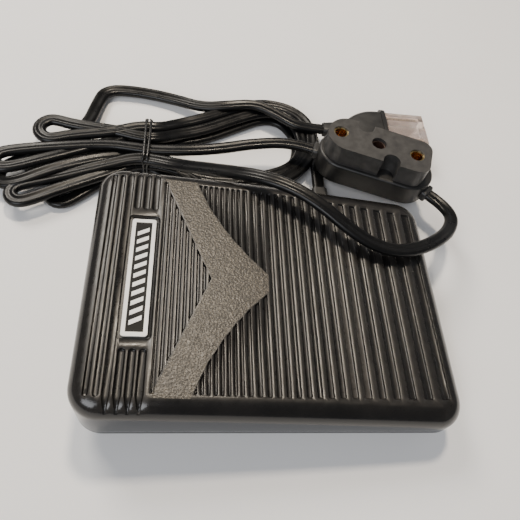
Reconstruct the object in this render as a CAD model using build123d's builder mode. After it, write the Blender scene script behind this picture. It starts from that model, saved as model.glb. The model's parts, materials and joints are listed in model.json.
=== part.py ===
from build123d import *
import math
import os

# A sewing machine foot control. X runs from the toe (-X) to the heel (+X), +Y is the far
# side, where the cord leaves, and Z is up. The origin is on the ground at the pedal's centre.
# All sizes are in millimetres.

os.makedirs("parts", exist_ok=True)

# ---------------------------------------------------------------- driving dimensions
LENGTH = 120.0
WIDTH = 87.0
TOE_HEIGHT = 29.0
MID_HEIGHT = 25.0
HEEL_HEIGHT = 18.5
SKIRT_BOTTOM = 9.0
PLAN_RADIUS = 9.0
SHOULDER_RADIUS = 5.5
SHELL = 2.0
GROOVE_DEPTH = 0.6
RUNNING_GAP = 0.3

BASE_INSET = 2.8
BASE_BOTTOM = 1.2
FLOOR_TOP = 3.2
BASE_WALL_TOP = 12.0
BASE_WALL = 2.0

FOOT_RADIUS = 5.5
FOOT_TOP = 2.2
FOOT_X = 47.0
FOOT_Y = 29.0

HINGE_X = 50.8
HINGE_Z = 7.2
HINGE_PIN_RADIUS = 1.5
HINGE_CLEARANCE = 0.05
PRESS_ANGLE = 3.2

SPRING_X = -40.0
SPRING_Y = 25.0
SPRING_RADIUS = 4.4
SPRING_WIRE = 1.2
SPRING_TOP = 18.6
SPRING_PITCH = 2.6

BOARD_X = (-11.0, 41.0)
BOARD_Y = (-31.0, 17.0)
BOARD_BOTTOM = 6.2
BOARD_THICKNESS = 1.6
BOARD_TOP = BOARD_BOTTOM + BOARD_THICKNESS

POT_X = 6.0
POT_Z = 13.0
LEVER_LENGTH = 22.0
# the lever swings evenly about level while the tread goes through its travel
LEVER_RATIO = (HINGE_X - POT_X + LEVER_LENGTH) / LEVER_LENGTH
LEVER_START = PRESS_ANGLE * LEVER_RATIO / 2

CORD_X = 25.0
CORD_Z = 5.0
CORD_TUBE = 4.2

CONNECTOR_X = 45.2
CONNECTOR_Y = 65.5
CONNECTOR_TURN = -17.8
CONNECTOR_BOTTOM = 8.0
CONNECTOR_STEP = 18.5
CONNECTOR_TOP = 27.0
SOCKET_PITCH = 31.75 / 2
SOCKET_BORE = 2.4

PLUG_X = 41.5
PLUG_Y = 92.0
PLUG_Z = 7.2
BLADE_SPACING = 12.7

TIE_X = -47.2

HALF_LENGTH = LENGTH / 2
HALF_WIDTH = WIDTH / 2


def keep(piece, name):
    """Label a finished piece and write it to its own file."""
    piece.part.label = name
    export_step(piece.part, f"parts/{name}.step")


def top_height(x):
    """Height of the tread's crowned surface between its toe, middle and heel heights."""
    s = x / HALF_LENGTH
    slope = (HEEL_HEIGHT - TOE_HEIGHT) / 2
    bend = (HEEL_HEIGHT + TOE_HEIGHT) / 2 - MID_HEIGHT
    return MID_HEIGHT + slope * s + bend * s * s


def wedge(inset, drop, bottom, plan_radius, shoulder):
    """A solid with the tread's wedge profile, inset in plan and lowered at the top."""
    x = HALF_LENGTH - inset
    with BuildPart() as body:
        with BuildSketch(Plane.XZ):
            with BuildLine():
                Line((-x, bottom), (x, bottom))
                Line((x, bottom), (x, top_height(x) - drop))
                ThreePointArc(
                    (x, top_height(x) - drop),
                    (0, top_height(0) - drop),
                    (-x, top_height(-x) - drop),
                )
                Line((-x, top_height(-x) - drop), (-x, bottom))
            make_face()
        extrude(amount=HALF_WIDTH - inset, both=True)
        if plan_radius:
            fillet(body.edges().filter_by(Axis.Z), plan_radius)
        if shoulder:
            fillet(body.faces().sort_by(Axis.Z)[-1].edges(), shoulder)
    return body.part


# ---------------------------------------------------------------- tread
TOE_GROOVES = (-54.4, -51.7)
BAND_START = -49.1
BAND_PITCH = 2.95
BAND_WIDTH = 2.1
FINE_START = -36.9
FINE_PITCH = 1.93
FINE_WIDTH = 1.0
FINE_COUNT = 14
HEEL_START = -10.1
HEEL_FIRST_PITCH = 2.75
HEEL_PITCH_GROWTH = 0.0141
HEEL_COUNT = 17
HEEL_NARROWING = 0.03
GROOVE_HALF = 37.4
TOE_GROOVE_HALF = 38.6
CHEVRON_HALF = 38.6
CHEVRON_INNER = ((-37.6, CHEVRON_HALF), (-20.8, 0.0), (-37.6, -CHEVRON_HALF))
CHEVRON_OUTER = (
    (-2.6, 3.0),
    (-9.3, 9.8),
    (-13.7, 15.0),
    (-17.4, 20.2),
    (-21.9, 27.5),
    (-25.7, 36.2),
    (-26.5, CHEVRON_HALF),
)
LABEL_X = -43.3
LABEL_WIDTH = 7.6
LABEL_LENGTH = 41.5
LABEL_RECESS = 1.2
LABEL_CORNER = 1.5
CHEVRON_GAP = 0.4

# centre, width and half length of every groove, from the toe to the heel; the bands run out
# through the shoulders
grooves = [(x, 1.5, TOE_GROOVE_HALF) for x in TOE_GROOVES]
grooves += [(BAND_START + n * BAND_PITCH, BAND_WIDTH, HALF_WIDTH) for n in range(4)]
grooves += [(FINE_START + n * FINE_PITCH, FINE_WIDTH, GROOVE_HALF) for n in range(FINE_COUNT)]
toe_wall = HEEL_START
for n in range(HEEL_COUNT):
    pitch = HEEL_FIRST_PITCH + HEEL_PITCH_GROWTH * n * n
    width = 0.48 * pitch
    narrowing = HEEL_NARROWING * max(toe_wall, 0)
    grooves.append((toe_wall + width / 2, width, GROOVE_HALF - narrowing))
    toe_wall += pitch

with BuildPart() as groove_field:
    with BuildSketch():
        for x, width, half in grooves:
            with Locations((x, 0)):
                SlotOverall(2 * half, width, rotation=90)
        with BuildLine():
            near_edge = [(x, -y) for x, y in reversed(CHEVRON_OUTER)]
            Polyline(*CHEVRON_INNER, *near_edge, *CHEVRON_OUTER, close=True)
        chevron_cut = make_face(mode=Mode.PRIVATE)
        offset(chevron_cut, amount=CHEVRON_GAP, mode=Mode.SUBTRACT)
        with Locations((LABEL_X, 0)):
            RectangleRounded(
                LABEL_WIDTH + 2 * LABEL_RECESS, LABEL_LENGTH + 2 * LABEL_RECESS, LABEL_CORNER,
                mode=Mode.SUBTRACT,
            )
    extrude(amount=TOE_HEIGHT + 2)
    add(wedge(-1, GROOVE_DEPTH, 0, 0, 0), mode=Mode.SUBTRACT)

cavity = wedge(SHELL, SHELL + GROOVE_DEPTH, 0, PLAN_RADIUS - SHELL, SHOULDER_RADIUS - SHELL)
under = wedge(SHELL, SHELL + GROOVE_DEPTH - 0.2, 0, 0, 0)
EAR_Y = (33.0, 36.5)
EAR_RADIUS = 3.0
HOOK_X = -50.0
HOOK_Y = 12.0
SEAT_RADIUS = 5.6
FORK_X = POT_X - LEVER_LENGTH * math.cos(math.radians(LEVER_START))
FORK_Z = POT_Z + LEVER_LENGTH * math.sin(math.radians(LEVER_START))
FORK_Y = -10.4
FORK_PAD_Z = 18.8
FORK_SCREW_Y = FORK_Y - 3.6
FORK_SCREW_STEP = 2.4

PEG_RADIUS = 2.6
HOOK_ROOT_Z = 19.0
BARB_Z = 11.3
LABEL_FLOOR = top_height(LABEL_X) - 0.9
FORK_PAD = (FORK_X, FORK_Y - 2.5)

# features that hang from the tread are made tall and trimmed by its underside
with BuildPart() as hanging_features:
    with BuildSketch(Plane.XY.offset(SPRING_TOP + RUNNING_GAP)):
        with Locations((SPRING_X, SPRING_Y), (SPRING_X, -SPRING_Y)):
            Circle(SEAT_RADIUS)
    extrude(amount=12)
    for ear_face in (EAR_Y[0], -EAR_Y[1]):
        with BuildSketch(Plane.XZ.offset(-ear_face)):
            with Locations((HINGE_X, HINGE_Z)):
                Circle(EAR_RADIUS)
            with Locations((HINGE_X, HINGE_Z + 6)):
                Rectangle(2 * EAR_RADIUS, 12)
        extrude(amount=-(EAR_Y[1] - EAR_Y[0]))
    for y in (HOOK_Y, -HOOK_Y):
        with Locations((HOOK_X, y, HOOK_ROOT_Z)):
            Box(2.0, 8.0, 18.0)
        with Locations((HOOK_X - 2.2, y, BARB_Z)):
            Box(2.4, 8.0, 2.6)
    with BuildSketch(Plane.XY.offset(FORK_PAD_Z)):
        with Locations(FORK_PAD):
            Rectangle(9.0, 8.0)
    extrude(amount=8)
    add(under, mode=Mode.INTERSECT)

with BuildPart() as tread_cover:
    add(wedge(0, 0, SKIRT_BOTTOM, PLAN_RADIUS, SHOULDER_RADIUS))
    add(cavity, mode=Mode.SUBTRACT)
    # grooves in the crowned surface, and what hangs below it
    add(groove_field.part, mode=Mode.SUBTRACT)
    add(hanging_features.part)
    # spring pegs reach down inside the springs
    with Locations((SPRING_X, SPRING_Y, SPRING_TOP), (SPRING_X, -SPRING_Y, SPRING_TOP)):
        Cylinder(PEG_RADIUS, 6.0)
    # hinge bores in both ears
    with Locations(Location((HINGE_X, 0, HINGE_Z), (90, 0, 0))):
        Cylinder(HINGE_PIN_RADIUS + HINGE_CLEARANCE, 2 * EAR_Y[1] + 2, mode=Mode.SUBTRACT)
    # screw holes for the fork
    with Locations((FORK_X, FORK_SCREW_Y, FORK_PAD_Z)):
        with GridLocations(2 * FORK_SCREW_STEP, 1, 2, 1):
            Cylinder(0.7, 3.4, align=(Align.CENTER, Align.CENTER, Align.MIN), mode=Mode.SUBTRACT)
    # recess for the label plate
    with BuildSketch(Plane.XY.offset(LABEL_FLOOR)):
        with Locations((LABEL_X, 0)):
            RectangleRounded(
                LABEL_WIDTH + 2 * LABEL_RECESS, LABEL_LENGTH + 2 * LABEL_RECESS, LABEL_CORNER
            )
    extrude(amount=5, mode=Mode.SUBTRACT)
keep(tread_cover, "tread_cover")

PLATE_THICKNESS = 0.6
PANEL_FLOOR = LABEL_FLOOR + 0.4
PANEL_SIZE = (LABEL_WIDTH - 2.4, LABEL_LENGTH - 2.6)
with BuildPart() as label_plate:
    with BuildSketch(Plane.XY.offset(LABEL_FLOOR)):
        with Locations((LABEL_X, 0)):
            RectangleRounded(LABEL_WIDTH, LABEL_LENGTH, 0.8)
    extrude(amount=PLATE_THICKNESS)
    with BuildSketch(Plane.XY.offset(PANEL_FLOOR)):
        with Locations((LABEL_X, 0)):
            Rectangle(*PANEL_SIZE)
    extrude(amount=1, mode=Mode.SUBTRACT)
keep(label_plate, "label_plate")

with BuildPart() as label_panel:
    with BuildSketch(Plane.XY.offset(PANEL_FLOOR)):
        with Locations((LABEL_X, 0)):
            Rectangle(*PANEL_SIZE)
    extrude(amount=LABEL_FLOOR + PLATE_THICKNESS - PANEL_FLOOR)
keep(label_panel, "label_panel")

# the fork hangs from the tread and drives the lever's pin up and down
FORK_THICKNESS = 2.0
PIN_RADIUS = 1.2
SLOT_HALF = PIN_RADIUS + RUNNING_GAP
with BuildPart() as actuator_fork:
    with BuildSketch(Plane.XZ.offset(-FORK_Y - FORK_THICKNESS / 2)):
        with Locations((FORK_X, (FORK_Z - 2.7 + FORK_PAD_Z) / 2)):
            Rectangle(8.0, FORK_PAD_Z - FORK_Z + 2.7)
        with Locations((FORK_X, FORK_Z)):
            SlotOverall(5.4, 2 * SLOT_HALF, mode=Mode.SUBTRACT)
    extrude(amount=FORK_THICKNESS)
    with BuildSketch(Plane.XY.offset(FORK_PAD_Z)):
        with Locations(FORK_PAD):
            Rectangle(8.0, 7.0)
    extrude(amount=-1.4)
    with Locations((FORK_X, FORK_SCREW_Y, FORK_PAD_Z)):
        with GridLocations(2 * FORK_SCREW_STEP, 1, 2, 1):
            Cylinder(0.75, 4.0, mode=Mode.SUBTRACT)
keep(actuator_fork, "actuator_fork")


def screws(name, places, z, head_radius, head_height, shank_radius, shank_length, up=1):
    """A group of cross-head screws: z is the seat under the head, up is the head's side."""
    near, far = (Align.MIN, Align.MAX) if up > 0 else (Align.MAX, Align.MIN)
    centre = (Align.CENTER, Align.CENTER)
    with BuildPart() as group:
        for x, y in places:
            with Locations((x, y, z)):
                Cylinder(head_radius, head_height, align=(*centre, near))
                Cylinder(shank_radius, shank_length, align=(*centre, far))
            with Locations((x, y, z + up * head_height)):
                Box(1.3 * head_radius, 0.35, 0.6, mode=Mode.SUBTRACT)
                Box(0.35, 1.3 * head_radius, 0.6, mode=Mode.SUBTRACT)
    keep(group, name)


fork_screw_places = [(FORK_X + dx, FORK_SCREW_Y) for dx in (-FORK_SCREW_STEP, FORK_SCREW_STEP)]
screws("fork_screws", fork_screw_places, FORK_PAD_Z - 1.4, 1.5, 1.0, 0.7, 4.2, up=-1)

# ---------------------------------------------------------------- base
TRAY_LENGTH = LENGTH - 2 * BASE_INSET
TRAY_WIDTH = WIDTH - 2 * BASE_INSET
TRAY_RADIUS = PLAN_RADIUS - BASE_INSET
TRAY_INSIDE_Y = TRAY_WIDTH / 2 - BASE_WALL
BASE_EAR_Y = (29.2, 32.7)
BASE_EAR_RADIUS = 3.4
RELIEF_WIDTH = 9.0
RELIEF_HEIGHT = 4.2
STANDOFF_INSET = 4.0
STANDOFF_X = (BOARD_X[0] + STANDOFF_INSET, BOARD_X[1] - STANDOFF_INSET)
STANDOFF_Y = (BOARD_Y[0] + STANDOFF_INSET, BOARD_Y[1] - STANDOFF_INSET)
STANDOFFS = [(x, y) for x in STANDOFF_X for y in STANDOFF_Y]
FEET = [(x, y) for x in (-FOOT_X, FOOT_X) for y in (-FOOT_Y, FOOT_Y)]
CLAMP_Y = 31.0
CLAMP_STEP = 6.4
CLAMP_POST_TOP = 6.4
CLAMP_SCREWS = [(CORD_X + dx, CLAMP_Y) for dx in (-CLAMP_STEP, CLAMP_STEP)]
PEG_HEIGHT = 5.0
PILOT_RADIUS = 0.8
ON_TOP = (Align.CENTER, Align.CENTER, Align.MIN)

with BuildPart() as base_tray:
    with BuildSketch(Plane.XY.offset(BASE_BOTTOM)):
        RectangleRounded(TRAY_LENGTH, TRAY_WIDTH, TRAY_RADIUS)
    extrude(amount=BASE_WALL_TOP - BASE_BOTTOM)
    chamfer(base_tray.faces().sort_by(Axis.Z)[0].edges(), 0.6)
    with BuildSketch(Plane.XY.offset(FLOOR_TOP)):
        RectangleRounded(
            TRAY_LENGTH - 2 * BASE_WALL, TRAY_WIDTH - 2 * BASE_WALL, TRAY_RADIUS - BASE_WALL
        )
    extrude(amount=20, mode=Mode.SUBTRACT)
    # stiffening ribs across the floor
    for x in (-30.0, -22.0):
        with Locations((x, 0, FLOOR_TOP)):
            Box(1.2, 2 * TRAY_INSIDE_Y, 1.4, align=ON_TOP)
    # spring pegs, board standoffs and clamp posts
    for y in (SPRING_Y, -SPRING_Y):
        with Locations((SPRING_X, y, FLOOR_TOP)):
            Cylinder(PEG_RADIUS, PEG_HEIGHT, align=ON_TOP)
    for x, y in STANDOFFS:
        with Locations((x, y, FLOOR_TOP)):
            Cylinder(2.6, BOARD_BOTTOM - FLOOR_TOP, align=ON_TOP)
    for x, y in CLAMP_SCREWS:
        with Locations((x, y, FLOOR_TOP)):
            Cylinder(2.0, CLAMP_POST_TOP - FLOOR_TOP, align=ON_TOP)
    # hinge ears
    for ear_face in (BASE_EAR_Y[0], -BASE_EAR_Y[1]):
        with BuildSketch(Plane.XZ.offset(-ear_face)):
            with Locations((HINGE_X, HINGE_Z)):
                Circle(BASE_EAR_RADIUS)
            with Locations((HINGE_X, (FLOOR_TOP + HINGE_Z) / 2)):
                Rectangle(2 * BASE_EAR_RADIUS, HINGE_Z - FLOOR_TOP)
        extrude(amount=-(BASE_EAR_Y[1] - BASE_EAR_Y[0]))
    with Locations(Location((HINGE_X, 0, HINGE_Z), (90, 0, 0))):
        Cylinder(HINGE_PIN_RADIUS, 2 * BASE_EAR_Y[1] + 2, mode=Mode.SUBTRACT)
    # stop lugs on the toe wall hold the tread's hooks down
    for y in (HOOK_Y, -HOOK_Y):
        with Locations((-TRAY_LENGTH / 2 + 2.8, y, 14.0)):
            Box(5.6, 10.0, 1.9)
        with Locations((-TRAY_LENGTH / 2 + BASE_WALL / 2, y, 13.0)):
            Box(BASE_WALL, 10.0, 3.9)
    # cord exit through the far wall
    with BuildSketch(Plane.XZ.offset(-TRAY_INSIDE_Y + 1)):
        with Locations((CORD_X, CORD_Z)):
            RectangleRounded(RELIEF_WIDTH - 1.6, RELIEF_HEIGHT - 0.6, 1.2)
    extrude(amount=-6, mode=Mode.SUBTRACT)
    # recesses for the feet and pilot holes for the screws
    with Locations(*[Location((x, y, BASE_BOTTOM - 1)) for x, y in FEET]):
        Cylinder(FOOT_RADIUS, FOOT_TOP - BASE_BOTTOM + 1, align=ON_TOP, mode=Mode.SUBTRACT)
    with Locations(*[Location((x, y, FLOOR_TOP - 0.6)) for x, y in STANDOFFS + CLAMP_SCREWS]):
        Cylinder(PILOT_RADIUS, 8.0, align=ON_TOP, mode=Mode.SUBTRACT)
keep(base_tray, "base_tray")

with BuildPart() as rubber_feet:
    with Locations(*[Location((x, y, 0)) for x, y in FEET]):
        Cylinder(FOOT_RADIUS - 0.1, FOOT_TOP, align=ON_TOP)
    chamfer(rubber_feet.edges().group_by(Axis.Z)[0], 0.5)
keep(rubber_feet, "rubber_feet")

with BuildPart() as hinge_rod:
    with Locations(Location((HINGE_X, 0, HINGE_Z), (90, 0, 0))):
        Cylinder(HINGE_PIN_RADIUS, 2 * (EAR_Y[1] + 0.8))
    chamfer(hinge_rod.edges().filter_by(GeomType.CIRCLE), 0.3)
keep(hinge_rod, "hinge_rod")

COIL_BOTTOM = FLOOR_TOP + SPRING_WIRE / 2 + 0.35
COIL_HEIGHT = SPRING_TOP - SPRING_WIRE / 2 - 0.35 - COIL_BOTTOM
for word, y in (("near", -SPRING_Y), ("far", SPRING_Y)):
    coil = Helix(SPRING_PITCH, COIL_HEIGHT, SPRING_RADIUS, center=(SPRING_X, y, COIL_BOTTOM))
    with BuildPart() as return_spring:
        with BuildLine():
            add(coil)
        with BuildSketch(Plane(origin=coil @ 0, z_dir=coil % 0)):
            Circle(SPRING_WIRE / 2)
        sweep(is_frenet=True)
    keep(return_spring, f"return_spring_{word}")

# ---------------------------------------------------------------- circuit
LEAD_RADIUS = 0.35
BOARD_MID_X = sum(BOARD_X) / 2
BOARD_MID_Y = sum(BOARD_Y) / 2

with BuildPart() as circuit_board:
    with Locations((BOARD_MID_X, BOARD_MID_Y, BOARD_BOTTOM)):
        Box(BOARD_X[1] - BOARD_X[0], BOARD_Y[1] - BOARD_Y[0], BOARD_THICKNESS, align=ON_TOP)
    fillet(circuit_board.edges().filter_by(Axis.Z), 1.5)
    with Locations(*[Location((x, y, BOARD_BOTTOM)) for x, y in STANDOFFS]):
        Cylinder(1.1, 4, mode=Mode.SUBTRACT)
keep(circuit_board, "circuit_board")
screws("board_screws", STANDOFFS, BOARD_TOP, 1.9, 1.2, PILOT_RADIUS, 4.6)

POT_SIDE = 10.4
POT_Y = (-2.0, 5.0)
with BuildPart() as potentiometer_body:
    with BuildSketch(Plane.XZ.offset(-POT_Y[1])):
        with Locations((POT_X, POT_Z)):
            Circle(POT_SIDE / 2)
        with Locations((POT_X, (BOARD_TOP + POT_Z) / 2)):
            Rectangle(POT_SIDE, POT_Z - BOARD_TOP)
    extrude(amount=POT_Y[1] - POT_Y[0])
    with Locations(Location((POT_X, POT_Y[0] - 1.2, POT_Z), (90, 0, 0))):
        Cylinder(2.6, 2.4)
    with Locations(Location((POT_X, POT_Y[0], POT_Z), (90, 0, 0))):
        Cylinder(1.56, 12, mode=Mode.SUBTRACT)
keep(potentiometer_body, "potentiometer_body")

LEVER_Y = (-8.2, -5.4)
with BuildPart() as pot_shaft:
    with Locations(Location((POT_X, (4.0 + LEVER_Y[0] - 0.6) / 2, POT_Z), (90, 0, 0))):
        Cylinder(1.5, 4.0 - LEVER_Y[0] + 0.6)
    chamfer(pot_shaft.edges().filter_by(GeomType.CIRCLE), 0.2)
keep(pot_shaft, "pot_shaft")

lever_turn = Plane(
    origin=(POT_X, LEVER_Y[1], POT_Z),
    x_dir=(-math.cos(math.radians(LEVER_START)), 0, math.sin(math.radians(LEVER_START))),
    z_dir=(0, -1, 0),
)
with BuildPart() as wiper_lever:
    with BuildSketch(lever_turn):
        with BuildLine():
            Polyline(
                (0, 3.0), (LEVER_LENGTH, 2.0), (LEVER_LENGTH, -2.0), (0, -3.0), close=True
            )
        make_face()
        Circle(3.0)
        with Locations((LEVER_LENGTH, 0)):
            Circle(2.0)
        Circle(1.52, mode=Mode.SUBTRACT)
    extrude(amount=LEVER_Y[1] - LEVER_Y[0])
    with BuildSketch(lever_turn):
        with Locations((LEVER_LENGTH, 0)):
            Circle(PIN_RADIUS)
    extrude(amount=LEVER_Y[1] - FORK_Y + FORK_THICKNESS / 2 + 0.8)
keep(wiper_lever, "wiper_lever")

SINK_Y = -25.0
SINK_X = (10.0, 34.0)
SINK_TOP = 16.6
SINK_PLATE = 1.6
with BuildPart() as heat_sink:
    with Locations(((SINK_X[0] + SINK_X[1]) / 2, SINK_Y, BOARD_TOP)):
        Box(SINK_X[1] - SINK_X[0], SINK_PLATE, SINK_TOP - BOARD_TOP, align=ON_TOP)
    for n in range(5):
        fin_x = SINK_X[0] + 0.6 + n * (SINK_X[1] - SINK_X[0] - 1.2) / 4
        with Locations((fin_x, SINK_Y - 2.2, BOARD_TOP)):
            Box(1.2, 4.4, SINK_TOP - BOARD_TOP, align=ON_TOP)
    with Locations(Location(((SINK_X[0] + SINK_X[1]) / 2, SINK_Y, 14.4), (90, 0, 0))):
        Cylinder(1.25, 20, mode=Mode.SUBTRACT)
keep(heat_sink, "heat_sink")

TRIAC_X = (SINK_X[0] + SINK_X[1]) / 2
TRIAC_Y = SINK_Y + SINK_PLATE / 2
with BuildPart() as triac:
    with Locations((TRIAC_X, TRIAC_Y, 9.2)):
        Box(9.6, 4.2, 3.0, align=(Align.CENTER, Align.MIN, Align.MIN))
    with Locations((TRIAC_X, TRIAC_Y, 9.2)):
        Box(9.6, 1.2, 7.2, align=(Align.CENTER, Align.MIN, Align.MIN))
    for dx in (-2.54, 0, 2.54):
        with Locations((TRIAC_X + dx, TRIAC_Y + 2.2, BOARD_TOP)):
            Box(0.8, 0.5, 2.0, align=ON_TOP)
    with Locations(Location((TRIAC_X, SINK_Y, 14.4), (90, 0, 0))):
        Cylinder(1.3, 20, mode=Mode.SUBTRACT)
keep(triac, "triac")

with BuildPart() as heat_sink_bolt:
    with Locations(Location((TRIAC_X, TRIAC_Y + 1.2, 14.4), (-90, 0, 0))):
        Cylinder(2.0, 1.4, align=ON_TOP)
        Cylinder(1.2, 5.4, align=(Align.CENTER, Align.CENTER, Align.MAX))
    with Locations(Location((TRIAC_X, TRIAC_Y + 2.6, 14.4), (-90, 0, 0))):
        Box(0.5, 2.8, 0.8, mode=Mode.SUBTRACT)
keep(heat_sink_bolt, "heat_sink_bolt")

with BuildPart() as film_capacitor:
    with Locations((20, -8, BOARD_TOP)):
        Box(13.0, 6.0, 9.0, align=ON_TOP)
    fillet(film_capacitor.edges().filter_by(Axis.Z), 0.8)
    fillet(film_capacitor.faces().sort_by(Axis.Z)[-1].edges(), 0.6)
keep(film_capacitor, "film_capacitor")

with BuildPart() as disc_capacitor:
    with Locations(Location((20, 0.5, 12.4), (90, 0, 0))):
        Cylinder(3.8, 2.6)
    fillet(disc_capacitor.edges().filter_by(GeomType.CIRCLE), 1.0)
    for dx in (-2.5, 2.5):
        with Locations((20 + dx, 0.5, BOARD_TOP)):
            Cylinder(LEAD_RADIUS, 3.0, align=ON_TOP)
keep(disc_capacitor, "disc_capacitor")

CHOKE = (32.5, 5.0)
with BuildPart() as choke_core:
    with Locations((*CHOKE, BOARD_TOP)):
        Cylinder(5.0, 1.2, align=ON_TOP)
        Cylinder(2.2, 9.0, align=ON_TOP)
    with Locations((*CHOKE, BOARD_TOP + 7.8)):
        Cylinder(5.0, 1.2, align=ON_TOP)
keep(choke_core, "choke_core")

with BuildPart() as choke_winding:
    with BuildSketch(Plane.XY.offset(BOARD_TOP + 1.2)):
        with Locations(CHOKE):
            Circle(4.3)
            Circle(2.2, mode=Mode.SUBTRACT)
    extrude(amount=6.6)
keep(choke_winding, "choke_winding")

RESISTORS = ((-6.0, -19.0), (-1.5, -19.0), (3.0, -19.0))
RESISTOR_LIFT = 1.5
DIODE = (-4.5, 8.0)
DIODE_LIFT = 1.1


def axial_wire(place, half_span, lift):
    """A component's wire: up from the board, along its axis and down to the board again."""
    x, y = place
    ends = (y - half_span, y + half_span)
    return [
        (x, ends[0], BOARD_TOP),
        (x, ends[0], BOARD_TOP + lift),
        (x, ends[1], BOARD_TOP + lift),
        (x, ends[1], BOARD_TOP),
    ]


with BuildPart() as resistors:
    for place in RESISTORS:
        with BuildLine() as wire:
            FilletPolyline(*axial_wire(place, 3.6, RESISTOR_LIFT), radius=0.8)
        with BuildSketch(Plane(origin=wire.line @ 0, z_dir=wire.line % 0)):
            Circle(LEAD_RADIUS)
        sweep()
        with Locations(Location((*place, BOARD_TOP + RESISTOR_LIFT), (90, 0, 0))):
            Cylinder(1.15, 4.4)
            Cylinder(1.3, 1.0)
keep(resistors, "resistors")

with BuildPart() as trigger_diode:
    with BuildLine() as wire:
        FilletPolyline(*axial_wire(DIODE, 3.2, DIODE_LIFT), radius=0.7)
    with BuildSketch(Plane(origin=wire.line @ 0, z_dir=wire.line % 0)):
        Circle(LEAD_RADIUS)
    sweep()
    with Locations(Location((*DIODE, BOARD_TOP + DIODE_LIFT), (90, 0, 0))):
        Cylinder(0.9, 3.6)
keep(trigger_diode, "trigger_diode")

# ---------------------------------------------------------------- cord entry
INNER_CORD = (5.4, 2.8)
INNER_CORD_Y = (26.0, 36.2)
RELIEF_OUT_Y = 58.0
RELIEF_SECTIONS = (
    (TRAY_INSIDE_Y + BASE_WALL, RELIEF_WIDTH, RELIEF_HEIGHT),
    (RELIEF_OUT_Y, 6.4, 3.8),
)
with BuildPart() as inner_cord_end:
    with BuildSketch(Plane.XZ.offset(-INNER_CORD_Y[1])):
        with Locations((CORD_X, CORD_Z)):
            SlotOverall(*INNER_CORD)
    extrude(amount=INNER_CORD_Y[1] - INNER_CORD_Y[0])
keep(inner_cord_end, "inner_cord_end")

with BuildPart() as cord_clamp:
    with Locations((CORD_X, CLAMP_Y, CLAMP_POST_TOP)):
        Box(2 * CLAMP_STEP + 4.4, 5.0, 2.0, align=ON_TOP)
    fillet(cord_clamp.edges().filter_by(Axis.Z), 1.2)
    with Locations(*[Location((x, y, CLAMP_POST_TOP)) for x, y in CLAMP_SCREWS]):
        Cylinder(1.0, 8, mode=Mode.SUBTRACT)
keep(cord_clamp, "cord_clamp")
screws("clamp_screws", CLAMP_SCREWS, CLAMP_POST_TOP + 2.0, 1.8, 1.1, PILOT_RADIUS, 4.8)

LEAD_WIRE = 0.8
with BuildPart() as lead_wires:
    for dx in (-1.4, 1.4):
        wire_points = [
            (CORD_X + dx, INNER_CORD_Y[0], CORD_Z),
            (CORD_X + dx, 20.6, CORD_Z),
            (CORD_X + 1.6 * dx, 18.8, BOARD_TOP + 4.2),
            (CORD_X + 2.2 * dx, 12.8, BOARD_TOP + 4.2),
            (CORD_X + 2.2 * dx, 12.8, BOARD_TOP),
        ]
        with BuildLine() as wire_path:
            FilletPolyline(*wire_points, radius=1.4)
        with BuildSketch(Plane(origin=wire_path.line @ 0, z_dir=wire_path.line % 0)):
            Circle(LEAD_WIRE)
        sweep()
keep(lead_wires, "lead_wires")

with BuildPart() as strain_relief:
    # inner flange, neck through the wall and a tapered boot outside
    with BuildSketch(Plane.XZ.offset(-INNER_CORD_Y[1])):
        with Locations((CORD_X, CORD_Z)):
            RectangleRounded(RELIEF_WIDTH + 1.0, 3.4, 1.2)
    extrude(amount=-(TRAY_INSIDE_Y - INNER_CORD_Y[1]))
    with BuildSketch(Plane.XZ.offset(-TRAY_INSIDE_Y)):
        with Locations((CORD_X, CORD_Z)):
            RectangleRounded(RELIEF_WIDTH - 1.6, RELIEF_HEIGHT - 0.6, 1.2)
    extrude(amount=-BASE_WALL)
    for y, width, height in RELIEF_SECTIONS:
        with BuildSketch(Plane.XZ.offset(-y)):
            with Locations((CORD_X, CORD_Z)):
                RectangleRounded(width, height, 1.6)
    loft()
keep(strain_relief, "strain_relief")

# ---------------------------------------------------------------- three-hole connector
TURN = math.radians(CONNECTOR_TURN)
connector_plane = Plane(
    origin=(CONNECTOR_X, CONNECTOR_Y, 0),
    x_dir=(math.cos(TURN), math.sin(TURN), 0),
    z_dir=(0, 0, 1),
)
SHELL_LENGTH = 48.6
SHELL_WIDTH = 21.0
SHELL_SHIFT = 1.7
SHELL_ROUND = SHELL_WIDTH / 2
FACE_LENGTH = 43.0
FACE_WIDTH = 18.0
SOCKET_OUTER = 3.0
SOCKET_LENGTH = 7.0
SOCKET_DEPTH = 0.6
NOTCH_RADIUS = 3.4
NOTCH_DEPTH = 4.9
FACE_CORNER = 5.0
CORD_EXIT_Z = 13.2
FACE_SHIFT = 0.4
NOTCH_X = 6.4
# which way each cord leaves the shell's rounded end, turned from straight out
EXIT_TURNS = {-1: 0.0, 1: -25.0}


def on_connector(x, y, z=0.0):
    """A point given along, across and above the connector, in the pedal's frame."""
    return connector_plane.from_local_coords(Vector(x, y, z))


def on_exit(end, reach):
    """A point on the line along which a cord leaves the shell's left (-1) or right (1) end."""
    angle = math.radians(EXIT_TURNS[end])
    x = SHELL_SHIFT + end * (SHELL_LENGTH / 2 - SHELL_ROUND + reach * math.cos(angle))
    return on_connector(x, reach * math.sin(angle), CORD_EXIT_Z)


def exit_plane(end, reach):
    """A plane across a cord's exit line."""
    outward = on_exit(end, 1) - on_exit(end, 0)
    return Plane(on_exit(end, reach), x_dir=outward.cross(Vector(0, 0, 1)), z_dir=outward)


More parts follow.
